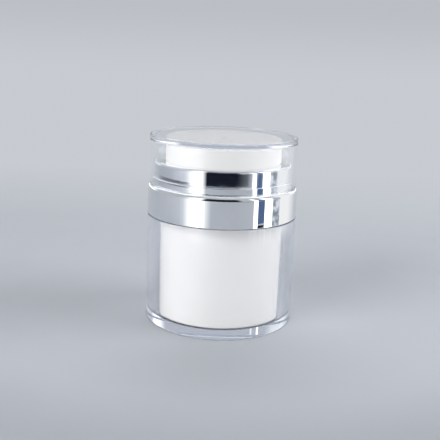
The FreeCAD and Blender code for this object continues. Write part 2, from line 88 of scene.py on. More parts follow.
# Walls, gaps and roundings in millimetres, the same as the solids have
JAR_WALL = 5.2
BOTTLE_GAP = 0.4
BOTTLE_WALL = 1.6
VENT_RADIUS = 0.8
SKIRT_WALL = 1.8
LEDGE_THICKNESS = 2.2
SEAT_RING_WIDTH = 0.8
SEAT_RING_HEIGHT = 3.1
NECK_WALL = 1.6
LIP_WIDTH = 2.55
LIP_THICKNESS = 1.4
PLATE_FIT = 0.3
PLATE_WALL = 1.6
PLATE_WEB = 2.0
PLATE_FLANGE_THICKNESS = 1.2
DISH_INSET = 2.4
DISH_DEPTH = 0.6
ORIFICE_RADIUS = 1.2
SINK_RADIUS = 1.9
SINK_DEPTH = 0.5
NIB_GAP = 0.1
NIB_DOME = 0.3
CAP_WALL = 1.8
CAP_FIT = 0.2
EDGE_ROUND = 0.3
FOOT_ROUND = 0.4
BOTTLE_ROUND = 0.9
SHOULDER_ROUND = 1.6
NECK_ROUND = 1.1
PLATE_ROUND = 0.8
CAP_ROUND = 0.6
CAP_INNER_ROUND = 0.8

# Radii from the outside in
JAR_BORE = JAR.radius - JAR_WALL
BOTTLE_RADIUS = JAR_BORE - BOTTLE_GAP
BOTTLE_BORE = BOTTLE_RADIUS - BOTTLE_WALL
SKIRT_BORE = COLLAR.radius - SKIRT_WALL
CAP_BORE = CAP.radius - CAP_WALL
NECK_RADIUS = CAP_BORE - CAP_FIT
SEAT_RING_RADIUS = NECK_RADIUS + SEAT_RING_WIDTH
RABBET_RADIUS = SEAT_RING_RADIUS + CAP_FIT
NECK_BORE = NECK_RADIUS - NECK_WALL
LIP_BORE = NECK_BORE - LIP_WIDTH
PLATE_RADIUS = LIP_BORE - PLATE_FIT
PLATE_BORE = PLATE_RADIUS - PLATE_WALL
DISH_RADIUS = PLATE_RADIUS - DISH_INSET
NIB_RADIUS = ORIFICE_RADIUS - NIB_GAP

# Heights from the foot up
JAR_FLOOR = BOTTLE.low - BOTTLE_GAP
BOTTLE_FLOOR = BOTTLE.low + BOTTLE_WALL
FLANGE_TOP = JAR.top + BOTTLE_WALL
LEDGE_TOP = INSERT.top + LEDGE_THICKNESS
SEAT_RING_TOP = LEDGE_TOP + SEAT_RING_HEIGHT
RABBET_TOP = SEAT_RING_TOP + CAP_FIT
LIP_LEVEL = COLLAR.top - LIP_THICKNESS
PLATE_FLANGE_TOP = PLATE.low + PLATE_FLANGE_THICKNESS
PLATE_WEB_LEVEL = PLATE.top - PLATE_WEB
DISH_LEVEL = PLATE.top - DISH_DEPTH
NIB_TOP = VALVE.top - NIB_DOME
CAP_CEILING = CAP.top - CAP_WALL

# How finely round forms are divided, and the distance within which a point counts as on the axis
AROUND = 240
FILLET_STEPS = 10
DISH_STEPS = 24
AXIS_REACH = 0.001


# Outlines
def side_of(start, end):
    """The outward normal of a stretch of outline, which has the solid on its left."""
    along = (end - start).normalized()
    return Vector((along.y, -along.x))


def turn_towards(start, end, share):
    """A unit direction that lies the given share of the way from one direction to another."""
    angle = start.angle_signed(end)
    return Matrix.Rotation(-angle * share, 2) @ start


def round_corner(before, corner, after, radius):
    """The arc that rounds a corner, as points with their normals."""
    back = (before - corner).normalized()
    ahead = (after - corner).normalized()
    half = back.angle(ahead) / 2
    centre = corner + (back + ahead).normalized() * (radius / math.sin(half))
    reach = radius / math.tan(half)
    first = (corner + back * reach - centre).normalized()
    last = (corner + ahead * reach - centre).normalized()
    sign = 1 if first.dot(side_of(before, corner)) > 0 else -1
    points = []
    for step in range(FILLET_STEPS + 1):
        spoke = turn_towards(first, last, step / FILLET_STEPS)
        points.append((centre + spoke * radius, spoke * sign, spoke * sign))
    return points


def ball_points(start, end):
    """An arc about the axis between two points of an outline, without its two ends."""
    rise = end.y - start.y
    centre = Vector((0, (end.dot(end) - start.dot(start)) / (2 * rise)))
    first = start - centre
    last = end - centre
    sign = 1 if first.dot(side_of(start, end)) > 0 else -1
    points = []
    for step in range(1, DISH_STEPS):
        spoke = turn_towards(first.normalized(), last.normalized(), step / DISH_STEPS)
        points.append((centre + spoke * first.length, spoke * sign, spoke * sign))
    return points


def outline_points(corners):
    """Works out a closed outline of (radius, height, rounding) corners; ball makes the next stretch
    an arc about the axis. Each point comes with the normals of the stretches before and after it."""
    places = [Vector(corner[:2]) for corner in corners]
    points = []
    for index, corner in enumerate(corners):
        before = places[index - 1]
        place = places[index]
        after = places[(index + 1) % len(places)]
        rounding = corner[2] if len(corner) > 2 else 0
        if rounding and rounding != "ball":
            points += round_corner(before, place, after, rounding)
            continue
        points.append((place, side_of(before, place), side_of(place, after)))
        if rounding == "ball":
            points += ball_points(place, after)
    return points


# Meshes
def add_object(name, points, faces, normals=None, unit=MM):
    """A smooth mesh object from points that are counted in the given unit."""
    mesh = bpy.data.meshes.new(name)
    mesh.from_pydata([Vector(point) * unit for point in points], [], faces)
    mesh.shade_smooth()
    if normals:
        mesh.normals_split_custom_set(normals)
    piece = bpy.data.objects.new(name, mesh)
    scene.collection.objects.link(piece)
    return piece


def turned(name, corners):
    """Turns an outline about +Z into one closed mesh that has the outline's own normals."""
    outline = outline_points(corners)
    spots = []
    rings = []
    for place, before, after in outline:
        on_axis = place.x < AXIS_REACH
        count = 1 if on_axis else AROUND
        rings.append([len(spots) + step for step in range(count)] * (AROUND if on_axis else 1))
        for step in range(count):
            angle = FULL_TURN * step / AROUND
            spots.append((place.x * math.cos(angle), place.x * math.sin(angle), place.y))
    faces = []
    normals = []
    for index, lower in enumerate(rings):
        upper = rings[(index + 1) % len(rings)]
        leaving = outline[index][2]
        arriving = outline[(index + 1) % len(rings)][1]
        for step in range(AROUND):
            beside = (step + 1) % AROUND
            face_corners = [(lower, step, leaving), (lower, beside, leaving)]
            face_corners += [(upper, beside, arriving), (upper, step, arriving)]
            face = []
            face_normals = []
            for ring, place, normal in face_corners:
                if ring[place] in face:
                    continue
                angle = FULL_TURN * place / AROUND
                face.append(ring[place])
                face_normals.append((normal.x * math.cos(angle), normal.x * math.sin(angle), normal.y))
            # A stretch along the axis leaves no face
            if len(face) > 2:
                faces.append(face)
                normals += face_normals
    return add_object(name, spots, faces, normals)


def swept(name, path, section):
    """Carries a closed section along a path and closes both ends; each path entry is
    (origin, right, up, scale)."""
    points = []
    count = len(section)
    for origin, right, up, scale in path:
        for across, rise in section:
            points.append(origin + right * across * scale + up * rise * scale)
    faces = []
    for ring in range(len(path) - 1):
        low = ring * count
        for step in range(count):
            beside = (step + 1) % count
            faces.append((low + step, low + beside, low + count + beside, low + count + step))
    last = (len(path) - 1) * count
    faces.append(tuple(range(count))[::-1])
    faces.append(tuple(last + step for step in range(count)))
    return add_object(name, points, faces)


def outward(turns):
    """The level direction after a number of turns about +Z."""
    return Vector((math.cos(FULL_TURN * turns), math.sin(FULL_TURN * turns), 0))


# Outer jar
jar = turned("jar_shell", [
    (0, JAR.low),
    (JAR.radius, JAR.low, FOOT_ROUND),
    (JAR.radius, JAR.top, EDGE_ROUND),
    (JAR_BORE, JAR.top, EDGE_ROUND),
    (JAR_BORE, JAR_FLOOR, BOTTLE_ROUND),
    (0, JAR_FLOOR),
])

# Inner bottle, whose largest radius is its flange's
bottle = turned("bottle_shell", [
    (VENT_RADIUS, BOTTLE.low),
    (BOTTLE_RADIUS, BOTTLE.low, BOTTLE_ROUND),
    (BOTTLE_RADIUS, JAR.top),
    (BOTTLE.radius, JAR.top, EDGE_ROUND),
    (BOTTLE.radius, FLANGE_TOP, EDGE_ROUND),
    (BOTTLE_RADIUS, FLANGE_TOP),
    (BOTTLE_RADIUS, BOTTLE.top, EDGE_ROUND),
    (BOTTLE_BORE, BOTTLE.top, EDGE_ROUND),
    (BOTTLE_BORE, BOTTLE_FLOOR, BOTTLE_ROUND),
    (VENT_RADIUS, BOTTLE_FLOOR),
])

# Collar with its skirt, shoulder, seat ring, neck and inner lip
collar = turned("collar_shell", [
    (SKIRT_BORE, COLLAR.low, EDGE_ROUND / 2),
    (COLLAR.radius, COLLAR.low, EDGE_ROUND),
    (COLLAR.radius, LEDGE_TOP, SHOULDER_ROUND),
    (SEAT_RING_RADIUS, LEDGE_TOP),
    (SEAT_RING_RADIUS, SEAT_RING_TOP, EDGE_ROUND),
    (NECK_RADIUS, SEAT_RING_TOP),
    (NECK_RADIUS, COLLAR.top, NECK_ROUND),
    (LIP_BORE, COLLAR.top, EDGE_ROUND),
    (LIP_BORE, LIP_LEVEL),
    (NECK_BORE, LIP_LEVEL),
    (NECK_BORE, INSERT.top),
    (SKIRT_BORE, INSERT.top),
])

# Press plate, whose largest radius is its flange's, and its slit valve
plate = turned("press_plate_shell", [
    (PLATE_BORE, PLATE.low),
    (PLATE.radius, PLATE.low, EDGE_ROUND),
    (PLATE.radius, PLATE_FLANGE_TOP, EDGE_ROUND),
    (PLATE_RADIUS, PLATE_FLANGE_TOP),
    (PLATE_RADIUS, PLATE.top, PLATE_ROUND),
    (DISH_RADIUS, PLATE.top, "ball"),
    (SINK_RADIUS, DISH_LEVEL),
    (ORIFICE_RADIUS, DISH_LEVEL - SINK_DEPTH),
    (ORIFICE_RADIUS, PLATE_WEB_LEVEL),
    (PLATE_BORE, PLATE_WEB_LEVEL, EDGE_ROUND),
])
valve = turned("slit_valve", [
    (0, VALVE.low),
    (VALVE.radius, VALVE.low),
    (VALVE.radius, PLATE_WEB_LEVEL),
    (NIB_RADIUS, PLATE_WEB_LEVEL),
    (NIB_RADIUS, NIB_TOP, "ball"),
    (0, VALVE.top),
])

# Cap, cut back inside its lower edge for the seat ring
cap = turned("cap_shell", [
    (RABBET_RADIUS, CAP.low),
    (CAP.radius, CAP.low, EDGE_ROUND),
    (CAP.radius, CAP.top, CAP_ROUND),
    (0, CAP.top),
    (0, CAP_CEILING),
    (CAP_BORE, CAP_CEILING, CAP_INNER_ROUND),
    (CAP_BORE, RABBET_TOP),
    (RABBET_RADIUS, RABBET_TOP),
])

# Screw threads of the neck and of the insert, with the lead and the lift that the joints have
THREAD_LEAD = in_mm(FULL_TURN / behaviour["couplings"][0]["ratio"])
THREAD_TURNS = in_mm(joints["head_lift"]["range_m"][1]) / THREAD_LEAD
THREAD_STEPS = 64
THREAD_LIFT = 1.2
THREAD_ROOM = 1.2
THREAD_DEPTH = 0.85
THREAD_SINK = 0.1
THREAD_HALF_ROOT = 0.75
THREAD_HALF_CREST = 0.3
THREAD_END_SHARE = 0.15
THREAD_FADE_RATE = 8
THREAD_LEVEL = FLANGE_TOP + THREAD_LIFT
INSERT_BORE = BOTTLE_RADIUS + THREAD_ROOM


def thread(name, root_radius, depth, level):
    """A helical ridge on a round wall, faded out at both ends; below zero its depth points inwards."""
    root = -math.copysign(THREAD_SINK, depth)
    section = [
        (root, -THREAD_HALF_ROOT),
        (depth, -THREAD_HALF_CREST),
        (depth, THREAD_HALF_CREST),
        (root, THREAD_HALF_ROOT),
    ]
    if depth < 0:
        section.reverse()
    total = round(THREAD_STEPS * THREAD_TURNS)
    path = []
    for step in range(total + 1):
        share = step / total
        right = outward(THREAD_TURNS * share)
        height = level + THREAD_LEAD * THREAD_TURNS * share
        fade = min(1, THREAD_END_SHARE + THREAD_FADE_RATE * min(share, 1 - share))
        path.append((right * root_radius + UP * height, right, UP, fade))
    return swept(name, path, section)


neck_thread = thread("neck_thread", BOTTLE_RADIUS, THREAD_DEPTH, THREAD_LEVEL)
insert_thread = thread("insert_thread", INSERT_BORE, -THREAD_DEPTH, THREAD_LEVEL + THREAD_LEAD / 2)

# Return spring, which stands between two seats with the same small gap to each
SPRING_WIRE = 0.8
COIL_GAP = 0.45
CLOSE_RISE = SPRING_WIRE + COIL_GAP
SPRING_TURNS = 6
OPEN_TURNS = SPRING_TURNS - 2
OPEN_RISE = (SPRING.top - SPRING.low - SPRING_WIRE - 2 * CLOSE_RISE) / OPEN_TURNS
SPRING_STEPS = 48
WIRE_SIDES = 12


def coil_height(turns):
    """Height of the wire's middle after a number of turns; the first and last turns lie close."""
    close = min(turns, 1) + max(turns - SPRING_TURNS + 1, 0)
    opened = min(max(turns - 1, 0), OPEN_TURNS)
    return SPRING.low + SPRING_WIRE / 2 + CLOSE_RISE * close + OPEN_RISE * opened


def make_spring():
    wire_section = [outward(side / WIRE_SIDES).xy * SPRING_WIRE / 2 for side in range(WIRE_SIDES)]
    path = []
    for step in range(SPRING_TURNS * SPRING_STEPS + 1):
        turns = step / SPRING_STEPS
        right = outward(turns)
        middle = right * (SPRING.radius - SPRING_WIRE / 2)
        path.append((middle + UP * coil_height(turns), right, UP, 1))
    return swept("coil_spring", path, wire_section)


spring = make_spring()

# Building blocks of materials
NOISE_DETAIL = 4


def new_material(name):
    material = bpy.data.materials.new(name)
    material.use_nodes = True
    return material, material.node_tree


def shader_of(tree):
    return next(node for node in tree.nodes if node.type == "BSDF_PRINCIPLED")


def add_noise(tree, waves, detail=NOISE_DETAIL, stretch=(1, 1, 1)):
    """A noise in the piece's own coordinates, with its waves in a metre."""
    place = tree.nodes.new("ShaderNodeTexCoord")
    mapping = tree.nodes.new("ShaderNodeMapping")
    mapping.inputs["Scale"].default_value = stretch
    noise = tree.nodes.new("ShaderNodeTexNoise")
    noise.inputs["Scale"].default_value = waves
    noise.inputs["Detail"].default_value = detail
    tree.links.new(place.outputs["Object"], mapping.inputs["Vector"])
    tree.links.new(mapping.outputs["Vector"], noise.inputs["Vector"])
    return noise.outputs["Fac"]


def add_ramp(tree, value, colours, shares=(0, 1)):
    """A colour that goes from the first to the second as a value goes from share to share."""
    ramp = tree.nodes.new("ShaderNodeValToRGB")
    for element, share, colour in zip(ramp.color_ramp.elements, shares, colours):
        element.position = share
        element.color = (*colour, 1)
    tree.links.new(value, ramp.inputs["Fac"])
    return ramp.outputs["Color"]


def add_range(tree, value, start, end, first=0, last=1, kind="SMOOTHSTEP"):
    """A step from first to last, smooth or straight, as a value goes from start to end."""
    spread = tree.nodes.new("ShaderNodeMapRange")
    spread.interpolation_type = kind
    spread.inputs["From Min"].default_value = start
    spread.inputs["From Max"].default_value = end
    spread.inputs["To Min"].default_value = first
    spread.inputs["To Max"].default_value = last
    tree.links.new(value, spread.inputs["Value"])
    return spread.outputs["Result"]


def join_values(tree, operation, first, second):
    """Two values added, multiplied or compared, kept between 0 and 1."""
    joined = tree.nodes.new("ShaderNodeMath")
    joined.operation = operation
    joined.use_clamp = True
    tree.links.new(first, joined.inputs[0])
    tree.links.new(second, joined.inputs[1])
    return joined.outputs["Value"]


def add_length(tree, vector):
    length = tree.nodes.new("ShaderNodeVectorMath")
    length.operation = "LENGTH"
    tree.links.new(vector, length.inputs[0])
    return length.outputs["Value"]


def mix_shaders(tree, share, first, second):
    """The first shader where the share is 0, the second where it is 1."""
    mix = tree.nodes.new("ShaderNodeMixShader")
    tree.links.new(share, mix.inputs["Fac"])
    tree.links.new(first, mix.inputs[1])
    tree.links.new(second, mix.inputs[2])
    return mix.outputs["Shader"]


def seen_directly(tree):
    """1 for what the camera sees, also in metal and through acrylic, and 0 for light on a surface."""
    path = tree.nodes.new("ShaderNodeLightPath")
    seen = join_values(tree, "ADD", path.outputs["Is Camera Ray"], path.outputs["Is Glossy Ray"])
    return join_values(tree, "ADD", seen, path.outputs["Is Transmission Ray"])


# How a surface varies: two tints, the least and most roughness, and the depth of its grain in millimetres,
# each with the waves of its noise in a metre
Finish = namedtuple(
    "Finish",
    "tints tint_waves roughness rough_waves grain_waves grain_depth grain_strength",
    defaults=(0, 0, 0),
)
ACRYLIC_FINISH = Finish(
    tints=((0.995, 0.998, 1.0), (0.985, 0.992, 1.0)),
    tint_waves=60,
    roughness=(0.0, 0.02),
    rough_waves=240,
)
CHROME_FINISH = Finish(
    tints=((0.88, 0.895, 0.91), (0.855, 0.87, 0.89)),
    tint_waves=90,
    roughness=(0.015, 0.05),
    rough_waves=320,
    grain_waves=140,
    grain_depth=0.02,
    grain_strength=0.1,
)
STEEL_FINISH = Finish(
    tints=((0.68, 0.69, 0.71), (0.58, 0.59, 0.61)),
    tint_waves=900,
    roughness=(0.18, 0.32),
    rough_waves=1500,
    grain_waves=2500,
    grain_depth=0.01,
    grain_strength=0.2,
)
WHITE_FINISH = Finish(
    tints=((0.94, 0.93, 0.915), (0.96, 0.95, 0.935)),
    tint_waves=120,
    roughness=(0.28, 0.40),
    rough_waves=500,
    grain_waves=900,
    grain_depth=0.03,
    grain_strength=0.15,
)
NATURAL_FINISH = WHITE_FINISH._replace(
    tints=((0.80, 0.81, 0.81), (0.86, 0.87, 0.87)),
    roughness=(0.42, 0.54),
    grain_waves=1200,
)
SEAL_FINISH = WHITE_FINISH._replace(
    tints=((0.84, 0.84, 0.83), (0.89, 0.89, 0.88)),
    roughness=(0.50, 0.62),
    grain_waves=1400,
)
SILICONE_FINISH = WHITE_FINISH._replace(
    tints=((0.70, 0.71, 0.72), (0.77, 0.78, 0.79)),
    roughness=(0.45, 0.57),
    grain_waves=1800,
)
# Parts of a noise's range over which a tint or a roughness goes from its first value to its second
TINT_SHARES = (0.3, 0.7)
ROUGH_SHARES = (0.35, 0.75)
GRAIN_DETAIL = 2
# Acrylic bends light by its index and takes up a little red on the way through
ACRYLIC_INDEX = 1.49
ACRYLIC_DEPTH_TINT = (0.76, 0.83, 0.97)
ACRYLIC_DENSITY = 9
# How much plastics shine, and the share of the light that goes into the softer ones
PLAIN_SHINE = 0.5
SEAL_SHINE = 0.4
NATURAL_SOFT_SHARE = 0.2
SILICONE_SOFT_SHARE = 0.3


def vary_colour(tree, tints, waves):
    colour = add_ramp(tree, add_noise(tree, waves), tints, TINT_SHARES)
    tree.links.new(colour, shader_of(tree).inputs["Base Color"])


def vary_roughness(tree, roughness, waves):
    value = add_range(tree, add_noise(tree, waves), *ROUGH_SHARES, *roughness, kind="LINEAR")
    tree.links.new(value, shader_of(tree).inputs["Roughness"])


def add_grain(tree, waves, depth, strength):
    bump = tree.nodes.new("ShaderNodeBump")
    bump.inputs["Strength"].default_value = strength
    bump.inputs["Distance"].default_value = depth * MM
    tree.links.new(add_noise(tree, waves, GRAIN_DETAIL), bump.inputs["Height"])
    tree.links.new(bump.outputs["Normal"], shader_of(tree).inputs["Normal"])


def lay_finish(tree, finish):
    vary_colour(tree, finish.tints, finish.tint_waves)
    vary_roughness(tree, finish.roughness, finish.rough_waves)
    if finish.grain_waves:
        add_grain(tree, finish.grain_waves, finish.grain_depth, finish.grain_strength)


def make_acrylic():
    material, tree = new_material("clear_acrylic")
    shader = shader_of(tree)
    shader.inputs["Transmission Weight"].default_value = 1
    shader.inputs["IOR"].default_value = ACRYLIC_INDEX
    lay_finish(tree, ACRYLIC_FINISH)
    depth = tree.nodes.new("ShaderNodeVolumeAbsorption")
    depth.inputs["Color"].default_value = (*ACRYLIC_DEPTH_TINT, 1)
    depth.inputs["Density"].default_value = ACRYLIC_DENSITY
    tree.links.new(depth.outputs["Volume"], tree.nodes["Material Output"].inputs["Volume"])
    return material


def make_metal(name, finish):
    material, tree = new_material(name)
    shader_of(tree).inputs["Metallic"].default_value = 1
    lay_finish(tree, finish)
    return material


def make_plastic(name, finish, shine=PLAIN_SHINE, soft_share=0):
    """A moulded plastic that a share of the light goes about a millimetre into."""
    material, tree = new_material(name)
    shader = shader_of(tree)
    shader.inputs["Specular IOR Level"].default_value = shine
    shader.inputs["Subsurface Weight"].default_value = soft_share
    shader.inputs["Subsurface Radius"].default_value = (1, 1, 1)
    shader.inputs["Subsurface Scale"].default_value = MM
    lay_finish(tree, finish)
    return material


acrylic = make_acrylic()
chrome = make_metal("chrome_plating", CHROME_FINISH)
steel = make_metal("spring_steel", STEEL_FINISH)
white = make_plastic("white_polypropylene", WHITE_FINISH)
natural = make_plastic("natural_polypropylene", NATURAL_FINISH, soft_share=NATURAL_SOFT_SHARE)
seal = make_plastic("soft_polyethylene", SEAL_FINISH, SEAL_SHINE, NATURAL_SOFT_SHARE)
silicone = make_plastic("silicone", SILICONE_FINISH, SEAL_SHINE, SILICONE_SOFT_SHARE)

# Nodes of the frame that stay, with better materials
NODE_MATERIALS = {
    "follower_piston": seal,
    "neck_gasket": seal,
    "threaded_insert": white,
    "pump_cylinder": natural,
    "cylinder_gasket": seal,
    "stem_guide": natural,
    "inlet_ball": steel,
    "ball_retainer": natural,
    "plate_hub": natural,
    "stem": natural,
    "pump_piston": seal,
    "stem_foot": natural,
}
for node_name, material in NODE_MATERIALS.items():
    node = nodes[node_name]
    if not node.material_slots:
        node.data.materials.append(material)
    for place in node.material_slots:
        place.material = material

# What each piece looks like, moves with and stands for, and the slot of its finish
DRESSED = [
    (jar, acrylic, "bottle", "outer_jar", "clear_acrylic"),
    (bottle, white, "bottle", "inner_bottle", "white_polypropylene"),
    (neck_thread, white, "bottle", None, "white_polypropylene"),
    (collar, chrome, "head", "collar", "chromed_collar"),
    (insert_thread, white, "head", None, "white_polypropylene"),
    (spring, steel, "head", "return_spring", "spring_steel"),
    (plate, white, "press", "press_plate", "white_polypropylene"),
    (valve, silicone, "press", "orifice_valve", "silicone"),
    (cap, acrylic, "lid", "cap", "clear_acrylic"),
]
for piece, material, body, node_name, slot_name in DRESSED:
    piece.data.materials.append(material)
    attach(piece, body)
    if node_name:
        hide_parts(node_name)
# Light falls through the clear pieces on what stands inside them
for piece in (jar, cap):
    piece.visible_shadow = False
    piece.visible_diffuse = False
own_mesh(spring)

# Floor that lies a hair under the foot and sweeps up into the backdrop, in metres
FLOOR_LEVEL = -0.00005
FLOOR_FRONT = -1.2
FLOOR_BACK = 0.75
SWEEP_RADIUS = 0.45
SWEEP_STEPS = 24
BACKDROP_TOP = 1.4
HALF_WIDTH = 1.6
PAPER_FINISH = Finish(
    tints=((0.46, 0.486, 0.534), (0.475, 0.501, 0.549)),
    tint_waves=9,
    roughness=(0.6, 0.75),
    rough_waves=40,
)
PAPER_SHINE = 0.1
# Where the lit paper gives way to the backdrop's own tone, behind the object and all round it
BEHIND_NEAR = 0.08
BEHIND_FAR = 0.36
ROUND_NEAR = 0.40
ROUND_FAR = 0.70
# The tone low and high on the backdrop, and the heights between which it changes
LOW_TONE = (0.575, 0.60, 0.64)
HIGH_TONE = (0.50, 0.52, 0.555)
TONE_LOW = 0.05
TONE_HIGH = 0.20
# Painted shadow under the foot, a dark colour mixed into the paper, which ends around its edge
PAINTED_SHADE_COLOUR = (0.03, 0.03, 0.035)
PAINTED_FOOT_SHADE_SHARE = 0.6
FOOT_SHADE_EDGE = 0.0008
FOOT_SHADE_INNER = JAR.radius * MM - FOOT_SHADE_EDGE
FOOT_SHADE_OUTER = JAR.radius * MM + FOOT_SHADE_EDGE
# Painted shade in front, which stands in for light that falls off with the distance from the middle of the
# lit paper
PAINTED_FALL_SHADE_SHARE = 0.17
LIT_MIDDLE = 0.05
FALL_START = 0.125
FALL_END = 0.165
RISE_END = 0.25


def add_painted_shade(tree, place, depth):
    """How much painted shade darkens the paper: under the foot, and in front where it stands in for light
    that falls off.
    """
    foot = add_range(
        tree, add_length(tree, place), FOOT_SHADE_INNER, FOOT_SHADE_OUTER, first=PAINTED_FOOT_SHADE_SHARE, last=0
    )
    # Painted shade in front: darker in a ring about the lit middle, only towards the front
    shift = tree.nodes.new("ShaderNodeMapping")
    shift.inputs["Location"].default_value = (0, -LIT_MIDDLE, 0)
    tree.links.new(place, shift.inputs["Vector"])
    distance = add_length(tree, shift.outputs["Vector"])
    fall = add_range(tree, distance, FALL_START, FALL_END, first=0, last=PAINTED_FALL_SHADE_SHARE)
    rise = add_range(tree, distance, FALL_END, RISE_END, first=1, last=0)
    front = add_range(tree, depth, -FALL_START / 2, 0, first=1, last=0)
    fall = join_values(tree, "MULTIPLY", fall, rise)
    fall = join_values(tree, "MULTIPLY", fall, front)
    return join_values(tree, "ADD", fall, foot)


def make_paper():
    """Pale paper, darkened by painted shade under the foot and in front, whose far part shows an even tone
    to the camera, in metal and through acrylic.
    """
    material, tree = new_material("studio_paper")
    shader = shader_of(tree)
    shader.inputs["Specular IOR Level"].default_value = PAPER_SHINE
    lay_finish(tree, PAPER_FINISH)
    place = tree.nodes.new("ShaderNodeTexCoord").outputs["Object"]
    parts = tree.nodes.new("ShaderNodeSeparateXYZ")
    tree.links.new(place, parts.inputs["Vector"])
    # Painted shade: a dark diffuse mixed into the paper under the foot and in front
    dark = tree.nodes.new("ShaderNodeBsdfDiffuse")
    dark.inputs["Color"].default_value = (*PAINTED_SHADE_COLOUR, 1)
    painted_shade = add_painted_shade(tree, place, parts.outputs["Y"])
    lit = mix_shaders(tree, painted_shade, shader.outputs["BSDF"], dark.outputs["BSDF"])
    behind = add_range(tree, parts.outputs["Y"], BEHIND_NEAR, BEHIND_FAR)
    all_round = add_range(tree, add_length(tree, place), ROUND_NEAR, ROUND_FAR)
    far = join_values(tree, "MAXIMUM", behind, all_round)
    rise = add_range(tree, parts.outputs["Z"], TONE_LOW, TONE_HIGH)
    tone = tree.nodes.new("ShaderNodeEmission")
    tree.links.new(add_ramp(tree, rise, (LOW_TONE, HIGH_TONE)), tone.inputs["Color"])
    seen_far = join_values(tree, "MULTIPLY", seen_directly(tree), far)
    paper = mix_shaders(tree, seen_far, lit, tone.outputs["Emission"])
    tree.links.new(paper, tree.nodes["Material Output"].inputs["Surface"])
    return material


def make_floor():
    run = [(FLOOR_FRONT, 0), (FLOOR_BACK, 0)]
    for step in range(1, SWEEP_STEPS + 1):
        angle = QUARTER_TURN * step / SWEEP_STEPS
        run.append((FLOOR_BACK + SWEEP_RADIUS * math.sin(angle), SWEEP_RADIUS * (1 - math.cos(angle))))
    run.append((FLOOR_BACK + SWEEP_RADIUS, BACKDROP_TOP))
    points = [(side, y, z + FLOOR_LEVEL) for y, z in run for side in (-HALF_WIDTH, HALF_WIDTH)]
    faces = [(row, row + 1, row + 3, row + 2) for row in range(0, len(points) - 2, 2)]
    floor = add_object("studio_floor", points, faces, unit=1)
    floor.data.materials.append(make_paper())


make_floor()

# Soft boxes, in metres, degrees and watts, that light the surfaces and show in none of them
SoftBox = namedtuple("SoftBox", "azimuth distance height width tall power")
SOFT_BOXES = {
    "left_soft_box": SoftBox(azimuth=-50, distance=0.70, height=0.29, width=0.38, tall=0.50, power=4.4),
    "right_soft_box": SoftBox(azimuth=86, distance=0.70, height=0.32, width=0.46, tall=0.60, power=4.8),
    "back_soft_box": SoftBox(azimuth=180, distance=0.42, height=0.55, width=0.60, tall=0.30, power=1.7),
}
AIM_HEIGHT = 0.04


def towards(azimuth):
    """The level direction at an azimuth, counted in degrees from the camera's side towards +X."""
    turn = math.radians(azimuth)
    return Vector((math.sin(turn), -math.cos(turn), 0))


def make_lamp(name, box):
    light = bpy.data.lights.new(name, "AREA")
    light.shape = "RECTANGLE"
    light.size = box.width
    light.size_y = box.tall
    light.energy = box.power
    lamp = bpy.data.objects.new(name, light)
    lamp.location = towards(box.azimuth) * box.distance + UP * box.height
    aim = UP * AIM_HEIGHT - lamp.location
    lamp.rotation_euler = aim.to_track_quat("-Z", "Y").to_euler()
    lamp.visible_glossy = False
    lamp.visible_transmission = False
    scene.collection.objects.link(lamp)


for lamp_name, box in SOFT_BOXES.items():
    make_lamp(lamp_name, box)

# Soft light from all round
AIR_COLOUR = (1.0, 0.995, 0.985)
AIR_STRENGTH = 0.25


def make_air():
    """The air's light, which shows as the backdrop's own tone in metal and acrylic."""
    world = bpy.data.worlds.new("studio_air")
    world.use_nodes = True
    tree = world.node_tree
    light = tree.nodes["Background"]
    light.inputs["Color"].default_value = (*AIR_COLOUR, 1)
    light.inputs["Strength"].default_value = AIR_STRENGTH
    tone = tree.nodes.new("ShaderNodeBackground")
    tone.inputs["Color"].default_value = (*HIGH_TONE, 1)
    air = mix_shaders(tree, seen_directly(tree), light.outputs["Background"], tone.outputs["Background"])
    tree.links.new(air, tree.nodes["World Output"].inputs["Surface"])
    scene.world = world


make_air()

# Cards that show only in polished surfaces and through the acrylic: distance from the axis, lowest and
# highest edge in metres, colour and strength
Card = namedtuple("Card", "distance low high colour strength")
WHITE_CARD = (1.0, 1.0, 1.0)
GREY_CARD = (0.82, 0.87, 0.94)
SHADE_CARD = (0.30, 0.33, 0.38)
DARK_CARD = (0.10, 0.13, 0.22)
BLUE_CARD = (0.36, 0.55, 1.0)
# Distances from the axis
STREAK_RING = 0.148
NEAR_RING = 0.15
FAR_RING = 0.33
BACK_RING = 0.70
# Heights of edges, from the floor up
STRIP_LOW = 0.0115
BLUE_FOOT_LOW = 0.0131
BLUE_FOOT_HIGH = 0.0147
BLUE_LOW = 0.0155
LEFT_SPLIT = 0.030
STREAK_LOW = 0.0345
STREAK_HIGH = 0.0375
STRIP_HIGH = 0.0455
CAMERA_SPLIT = 0.05
OVER_CAP = 0.060
SIDE_LOW = 0.10
SIDE_HIGH = 0.185
STRIP_TOP = 0.20
GLINT_LOW = 0.20
RIGHT_BASE_LOW = 0.21
BASE_HIGH = 0.36
CAMERA_TOP = 0.42
BACK_TOP = 1.00
